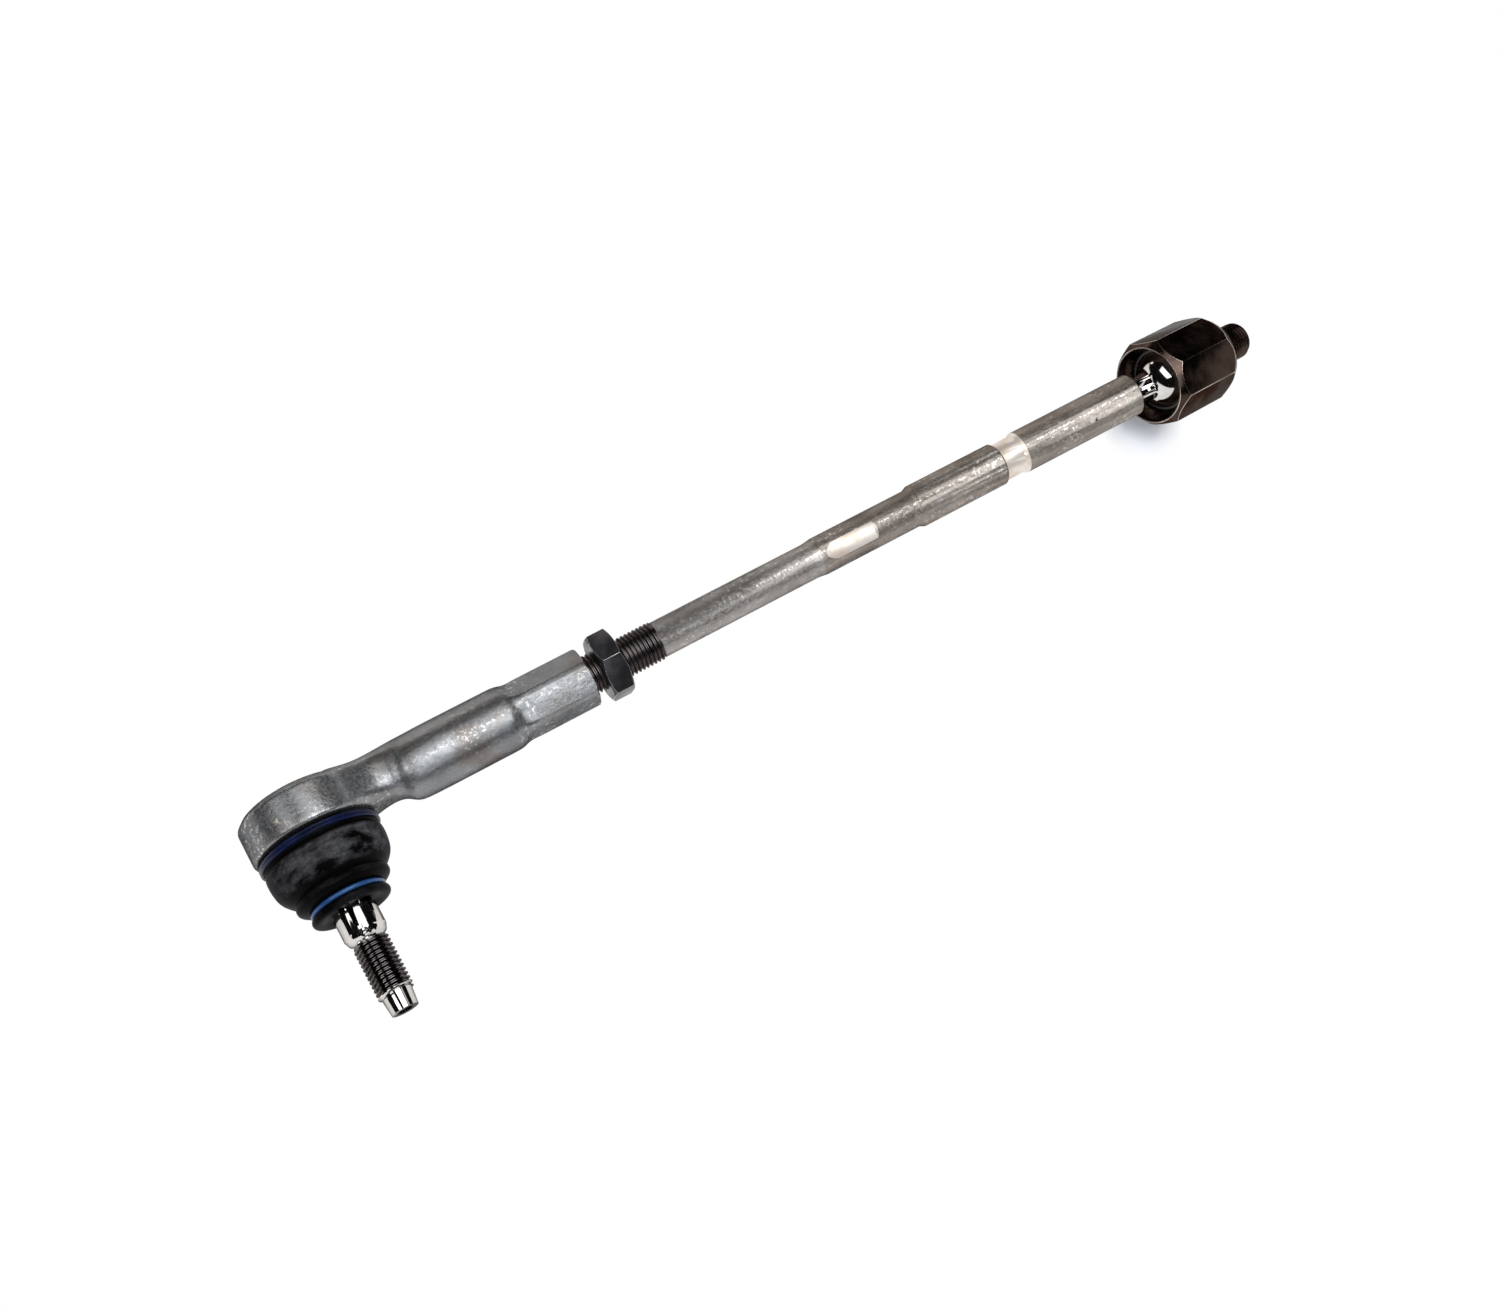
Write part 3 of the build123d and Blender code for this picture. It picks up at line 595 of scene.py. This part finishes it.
# The locknut
nut = own_copy("locknut", "nut")
nut.data.materials.append(nut_finish)
nut.data.materials.append(worn_edge)
soften_edges(nut, 0.32 * MM, material=1)
smooth(nut, 30)
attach(nut, "nut")
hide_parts("locknut")

# The outer end: the forging's skin is evened out up to a cut just past the barrel's step, and the hexagonal
# sleeve beyond it keeps its edges. Stations are in millimetres from the cup's axis
SLEEVE_AT = 80
NECK_START = 10
NOSE_END = 46
BARREL_MIDDLE = 60
STEP_AT = 74
EVEN_ALL = 3            # rounds of smoothing that the whole skin gets
EVEN_NECK = 130         # and those that the neck's weight spreads


def keep_half(piece, beyond):
    """Keeps a piece on one side of a station past the barrel's step, closed."""
    only(piece)
    bpy.ops.object.mode_set(mode="EDIT")
    bpy.ops.mesh.select_all(action="SELECT")
    bpy.ops.mesh.bisect(plane_co=ROD @ Vector((0, 0, SLEEVE_AT * MM)), plane_no=rod_axis, use_fill=True,
                        clear_inner=beyond, clear_outer=not beyond)
    bpy.ops.object.mode_set(mode="OBJECT")


def neck_weight(z):
    """How much more the skin is evened out: at the neck and the barrel's nose, and a little at its step."""
    if z > BARREL_MIDDLE:
        return 0.8 * max(0.0, 1 - abs(z - STEP_AT) / 5)
    return max(0.0, min(1.0, (z - NECK_START) / 10)) * max(0.0, min(1.0, (NOSE_END - z) / 8))


forging = own_copy("outer_end_body", "forging")
shape = forging.modifiers.new("skin", "REMESH")
shape.mode = "VOXEL"
shape.voxel_size = 0.5 * MM
apply_modifiers(forging)
evened = forging.vertex_groups.new(name="neck")
to_rod = ROD.inverted()
for vertex in forging.data.vertices:
    evened.add([vertex.index], neck_weight((to_rod @ vertex.co).z / MM), "REPLACE")
for group_name, rounds in (("", EVEN_ALL), ("neck", EVEN_NECK)):
    ease = forging.modifiers.new("ease", "SMOOTH")
    ease.factor = 0.5
    ease.iterations = rounds
    ease.vertex_group = group_name
apply_modifiers(forging)
keep_half(forging, False)
forging.data.materials.clear()
forging.data.materials.append(end_steel)
smooth(forging, 60)
sleeve = own_copy("outer_end_body", "sleeve")
soften_edges(sleeve, 0.5 * MM, 12, 3)
keep_half(sleeve, True)
sleeve.data.materials.append(end_steel)
smooth(sleeve, 30)
for half in (forging, sleeve):
    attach(half, "outer_end")
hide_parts("outer_end_body")

# The ball stud, with its thread cut
DULL_START, DULL_END, DULL_R = 44.5, 62.4, 6.2      # where the stud's thread is, in millimetres


def stud_finish(z, r, at, face):
    return int(DULL_START < z < DULL_END and r < DULL_R)


stud = own_copy("ball_stud", "stud")
cut(stud, thread_groove(STUD, *STUD_THREAD))
stud.data.materials.append(chrome)
stud.data.materials.append(stud_thread)
by_place(stud, STUD, stud_finish)
smooth(stud, 30)
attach(stud, "stud")
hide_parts("ball_stud")

# The inner housing, with its thread cut
housing = own_copy("inner_housing", "housing")
housing.data.materials.append(housing_finish)
housing.data.materials.append(housing_edge)
soften_edges(housing, 0.3 * MM, material=1)
cut(housing, thread_groove(HOUSING, *HOUSING_THREAD))
smooth(housing, 30)
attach(housing, "housing")
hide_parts("inner_housing")

# The rubber boot: bead, groove, dome, the fold under it, the ring's neck and the sealing lip
# Each point is a radius and a station, in millimetres
BOOT_OUTSIDE = [
    (19.3, 7.5), (19.7, 8.0), (19.7, 10.6), (19.45, 11.0), (19.2, 11.3), (19.25, 11.6), (19.7, 12.0),
    (19.95, 12.7), (20.05, 14.0), (20.0, 15.6), (19.75, 17.6), (19.3, 19.6), (18.5, 21.2), (17.4, 22.6),
    (16.4, 23.6), (15.6, 24.1), (15.35, 24.4), (15.6, 24.8), (15.85, 25.4), (15.85, 26.4), (15.5, 27.1),
    (14.9, 27.6), (14.3, 28.0), (13.7, 28.4), (12.7, 28.7), (11.6, 28.85), (11.25, 29.2), (11.2, 29.9),
    (11.4, 30.4), (12.3, 30.6), (12.9, 30.9), (13.25, 31.4), (13.3, 32.2), (12.9, 32.9), (12.0, 33.35),
    (10.6, 33.4), (9.2, 33.1), (8.2, 32.7), (7.4, 32.5),
]
BOOT_INSIDE = [
    (6.56, 32.4), (6.56, 28.7), (12.2, 25.2), (14.7, 22.7), (17.1, 20.0), (18.1, 17.2), (18.2, 15.0),
    (18.2, 12.3), (17.3, 10.9), (17.25, 7.5),
]
boot = lathe("boot", curve_through(BOOT_OUTSIDE, 2) + BOOT_INSIDE, STUD, 144)


# Where the dust lies, in millimetres along the stud, and the side of the dome that has most of it, in radians
BEAD_END = 11
DOME_START = 12.2
DOME_END = 23.2
FOLD_START, FOLD_END = 25.0, 27.0
LIP_START = 31.2
LIP_R = 9
DUSTIEST = 0.6


def boot_dust(station, r, angle):
    """How dusty the boot is: most on the dome, a little on its bead, fold and lip, and none in its grooves."""
    up_the_dome = min(1.0, max(0.0, (station - DOME_START) / 1.2))
    down_the_dome = min(1.0, max(0.0, (DOME_END - station) / 1.6))
    round_it = 0.72 + 0.28 * math.cos(angle - DUSTIEST)
    bead = 0.05 if station < BEAD_END else 0.0
    fold = 0.12 if FOLD_START < station < FOLD_END else 0.0
    lip = 0.15 if station > LIP_START and r > LIP_R else 0.0
    return max(up_the_dome * down_the_dome * round_it, bead, fold, lip)


paint(boot, "dust", STUD, boot_dust)
boot.data.materials.append(rubber)
smooth(boot, 50)
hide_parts("dust_boot")
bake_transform(boot)

for node_name, material in (
    ("boot_ring_large", navy_wire), ("boot_ring_small", blue_wire),
    ("outer_cover_plate", plate_finish), ("outer_ball_seat", seat_finish), ("inner_ball_seat", seat_finish),
):
    solid = frame["nodes"][node_name]
    solid.data.materials.clear()
    solid.data.materials.append(material)


# The camera stands where the photographer's did, told by the rod's and the stud's directions: along the rod,
# across it to the stud's side, and down. The numbers come from fitting the ends of the rod and the stud
along = rod_axis
across = (stud_axis - along * stud_axis.dot(along)).normalized()
down = along.cross(across)


def from_rod(a, b, c):
    return along * a + across * b + down * c


camera_data = bpy.data.cameras.new("camera")
camera = bpy.data.objects.new("camera", camera_data)
bpy.context.scene.collection.objects.link(camera)
bpy.context.scene.camera = camera
camera_data.sensor_width = 36
camera_data.lens = 39.614
camera_data.clip_start = 0.02
camera_data.clip_end = 20
picture_right = from_rod(0.8565855, 0.5105483, -0.0748445)
picture_up = from_rod(0.4539886, -0.8146093, -0.3609793)
looking = from_rod(0.2452664, -0.275231, 0.9295656)
turned_so = Matrix((picture_right, picture_up, -looking)).transposed().to_4x4()
camera_at = ball_centre + from_rod(15.711, 170.472, -522.857) * MM
camera.matrix_world = Matrix.Translation(camera_at) @ turned_so


# The sky is white to the camera and in reflections, and a pale blue light otherwise
world = bpy.data.worlds.new("studio")
bpy.context.scene.world = world
world.use_nodes = True
sky_tree = world.node_tree
sky = sky_tree.nodes["Background"]
sky.inputs["Color"].default_value = (0.92, 0.96, 1.0, 1)
sky.inputs["Strength"].default_value = 0.4
white = node(sky_tree, "ShaderNodeBackground")
white.inputs["Color"].default_value = (1, 1, 1, 1)
white.inputs["Strength"].default_value = 1.0
sky_path = node(sky_tree, "ShaderNodeLightPath")
sky_seen = maths(sky_tree, "MAXIMUM", sky_path.outputs["Is Camera Ray"], sky_path.outputs["Is Glossy Ray"])
sky_seen = maths(sky_tree, "MAXIMUM", sky_seen, sky_path.outputs["Is Transmission Ray"])
sky_mix = node(sky_tree, "ShaderNodeMixShader")
sky_tree.links.new(sky_seen, sky_mix.inputs["Fac"])
sky_tree.links.new(sky.outputs[0], sky_mix.inputs[1])
sky_tree.links.new(white.outputs[0], sky_mix.inputs[2])
sky_tree.links.new(sky_mix.outputs[0], sky_tree.nodes["World Output"].inputs["Surface"])

# The floor is cut out white in the photograph, but for the soft shadow under the housing
SHADE_AT = (inner_ball.x - 11 * MM, inner_ball.y - 4 * MM, 0)
SHADE_CORE = 6 * MM         # the floor's own shading shows most within this distance
SHADE_END = 16 * MM         # and white past this one
deselect()
bpy.ops.mesh.primitive_plane_add(size=6, location=(0, 0, -0.1 * MM))
floor = bpy.context.object
named(floor, "floor")
floor_paint = bpy.data.materials.new("floor")
floor_paint.use_nodes = True
floor_tree = floor_paint.node_tree
floor_shader = floor_tree.nodes["Principled BSDF"]
floor_shader.inputs["Base Color"].default_value = (0.84, 0.88, 0.95, 1)
floor_shader.inputs["Roughness"].default_value = 0.8
floor_shader.inputs["Specular IOR Level"].default_value = 0.1
floor_place = node(floor_tree, "ShaderNodeTexCoord")
apart = node(floor_tree, "ShaderNodeVectorMath", operation="DISTANCE")
apart.inputs[1].default_value = SHADE_AT
floor_tree.links.new(floor_place.outputs["Object"], apart.inputs[0])
glow = node(floor_tree, "ShaderNodeEmission")
glow.inputs["Color"].default_value = (1, 1, 1, 1)
shadowed = node(floor_tree, "ShaderNodeMixShader")
whiteness = between(floor_tree, apart.outputs["Value"], SHADE_CORE, SHADE_END, 0.1, 1.0)
floor_tree.links.new(whiteness, shadowed.inputs["Fac"])
floor_tree.links.new(floor_shader.outputs[0], shadowed.inputs[1])
floor_tree.links.new(glow.outputs[0], shadowed.inputs[2])
floor_path = node(floor_tree, "ShaderNodeLightPath")
floor_mix = node(floor_tree, "ShaderNodeMixShader")
floor_seen = maths(
    floor_tree, "MAXIMUM", floor_path.outputs["Is Camera Ray"], floor_path.outputs["Is Glossy Ray"])
floor_tree.links.new(floor_seen, floor_mix.inputs["Fac"])
floor_tree.links.new(floor_shader.outputs[0], floor_mix.inputs[1])
floor_tree.links.new(shadowed.outputs[0], floor_mix.inputs[2])
floor_out = floor_tree.nodes["Material Output"]
floor_tree.links.new(floor_mix.outputs[0], floor_out.inputs["Surface"])
floor.data.materials.append(floor_paint)


def lamp(name, at, size, power, target, colour=(1, 1, 1)):
    """A soft box that the camera doesn't see, turned to its target."""
    data = bpy.data.lights.new(name, "AREA")
    data.shape = "RECTANGLE"
    data.size, data.size_y = size
    data.energy = power
    data.color = colour
    made = bpy.data.objects.new(name, data)
    bpy.context.scene.collection.objects.link(made)
    made.location = at
    made.rotation_mode = "QUATERNION"
    made.rotation_quaternion = (Vector(target) - Vector(at)).to_track_quat("-Z", "Y")
    made.visible_camera = False


# Soft boxes over the object, in bands along the stud, and weaker ones near and far that the threads catch
lamp("box left near", (-0.71, -0.31, 0.9), (0.48, 0.62), 2.6, (-0.71, -0.31, 0))
lamp("box left far", (-0.71, 0.18, 0.9), (0.48, 0.36), 1.0, (-0.71, 0.18, 0))
lamp("box middle near", (0.13, -0.31, 0.9), (0.6, 0.62), 5.4, (0.13, -0.31, 0), (0.95, 0.98, 1.0))
lamp("box middle far", (0.13, 0.18, 0.9), (0.6, 0.36), 1.2, (0.13, 0.18, 0))
lamp("box right", (0.72, -0.33, 0.85), (0.5, 0.4), 0.5, (0.5, -0.2, 0))
lamp("near", (-0.2, -0.95, 0.86), (0.3, 0.5), 1.2, (-0.18, 0, 0), (0.88, 0.94, 1.0))
lamp("far", (0.0, 1.1, 0.38), (1.2, 0.2), 1.4, (0, 0, 0), (1.0, 0.92, 0.84))


def dark_card(name, at, size):
    """A black cloth outside the picture, which only shiny surfaces see."""
    deselect()
    bpy.ops.mesh.primitive_plane_add(size=1, location=at)
    card = named(bpy.context.object, name)
    card.scale = (size[0], size[1], 1)
    card.rotation_mode = "QUATERNION"
    facing = Vector((-at[0], -at[1], 0)) if at[0] or at[1] else -Vector(at)
    card.rotation_quaternion = facing.to_track_quat("Z", "Y")
    card.visible_camera = False
    card.visible_diffuse = False
    card.visible_shadow = False
    black = bpy.data.materials.new(name)
    black.use_nodes = True
    shade = black.node_tree.nodes["Principled BSDF"]
    shade.inputs["Base Color"].default_value = (0.012, 0.012, 0.012, 1)
    shade.inputs["Roughness"].default_value = 1
    shade.inputs["Specular IOR Level"].default_value = 0
    card.data.materials.append(black)


dark_card("cloth over", (0, 0, 1.6), (4.2, 4.2))
dark_card("cloth left", (-2.1, 0, 0.95), (4.2, 1.3))
dark_card("cloth right", (2.1, 0, 0.95), (4.2, 1.3))
dark_card("cloth near", (0, -2.1, 0.95), (4.2, 1.3))
dark_card("cloth far", (0, 2.1, 0.95), (4.2, 1.3))

bpy.context.scene.view_settings.view_transform = "Standard"
